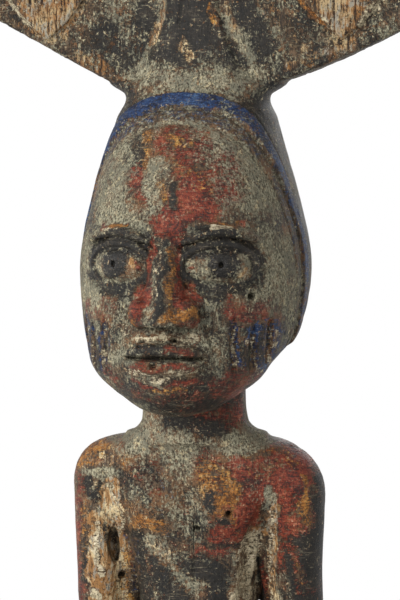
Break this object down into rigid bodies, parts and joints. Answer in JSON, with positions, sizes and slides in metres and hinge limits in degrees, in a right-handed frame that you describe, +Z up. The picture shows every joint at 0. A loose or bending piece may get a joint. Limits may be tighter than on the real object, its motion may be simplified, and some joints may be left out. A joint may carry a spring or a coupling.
{
  "type": "carved wooden figure",
  "caption": "Standing carved wooden devotee figure with a double-axe crest on its head, hands laid on a short wrapper, on a round plinth.",
  "frame": {"origin": "centre of the plinth's flat underside", "axes": "+Z up; the figure faces -Y; its own left side is at +X"},
  "size_m": [0.14, 0.0944, 0.3323],
  "materials": {
    "aged_wood": "worn dark hardwood with remains of paint",
    "red_paint": "worn red camwood and ochre paint on wood",
    "black_paint": "worn soot-black paint on wood",
    "blue_paint": "worn indigo-blue paint on wood",
    "dusty_hair": "black paint under grey dust on wood",
    "eroded_wood": "weathered open-grained wood"
  },
  "bodies": {
    "root": {"plinth": "aged_wood", "left_foot": "aged_wood", "right_foot": "aged_wood", "left_leg": "aged_wood", "right_leg": "aged_wood", "wrapper": "red_paint", "belt": "black_paint", "torso": "aged_wood", "left_arm": "aged_wood", "right_arm": "aged_wood", "left_hand": "aged_wood", "right_hand": "aged_wood", "neck": "aged_wood", "head": "red_paint", "left_eye": "black_paint", "right_eye": "black_paint", "hairline_band": "blue_paint", "hair_cap": "dusty_hair", "crest_pillar": "aged_wood", "left_axe_blade": "eroded_wood", "right_axe_blade": "eroded_wood"}
  },
  "joints": []
}
